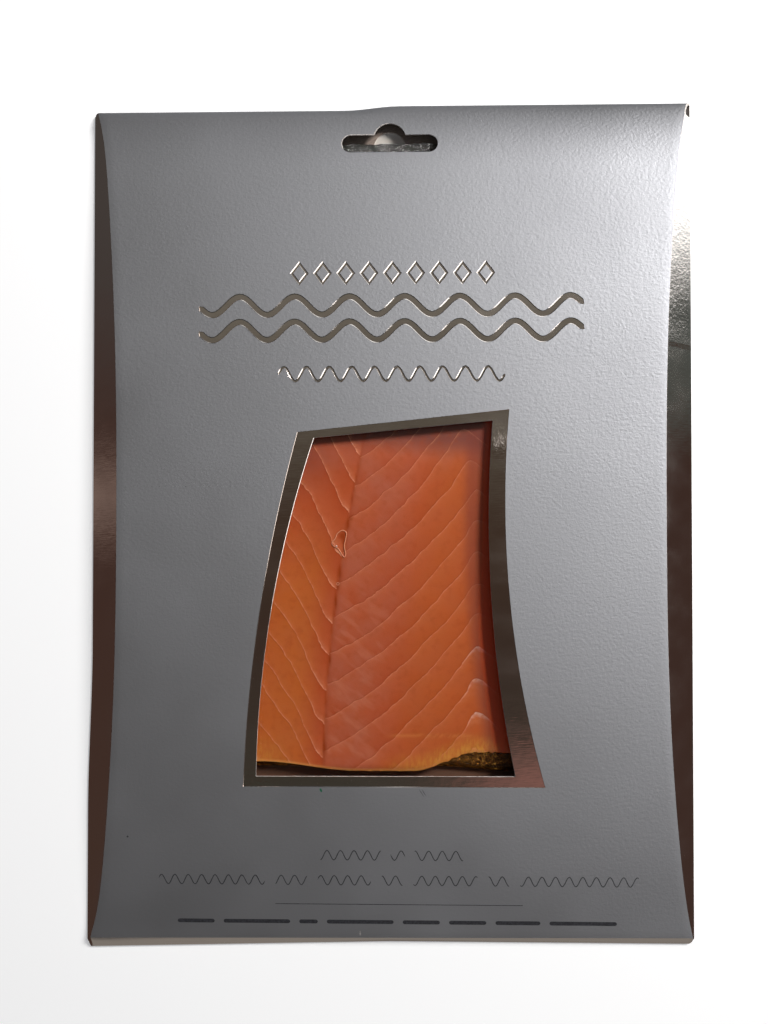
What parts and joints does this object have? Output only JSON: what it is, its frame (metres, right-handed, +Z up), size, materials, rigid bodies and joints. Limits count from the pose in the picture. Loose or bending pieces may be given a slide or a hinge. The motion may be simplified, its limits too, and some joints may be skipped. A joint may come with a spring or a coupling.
{
  "type": "pack of smoked salmon",
  "caption": "Flat folded card sleeve with curved side creases, a shaped window and a hang slot, holding a vacuum pouch of sliced smoked salmon on a gold board.",
  "frame": {"origin": "middle of the back panel's outline, on the surface the pack lies on", "axes": "+X to the right of the shown side, +Y along the pack towards the hang slot, +Z up out of the window"},
  "size_m": [0.2012, 0.2808, 0.0096],
  "materials": {
    "silver_card": "matt metallised board with a fine linen grain",
    "mirror_foil": "mirror-bright metallised board and hot foil",
    "card_core": "uncoated inner face and cut edge of the board",
    "printed_ink": "dark printed ink",
    "pouch_film": "clear glossy film",
    "salmon": "moist smoked salmon with pale fat lines",
    "gold_board": "gold metallised board"
  },
  "bodies": {
    "root": {"card_sleeve": "silver_card", "vacuum_pouch": "pouch_film"}
  },
  "joints": []
}
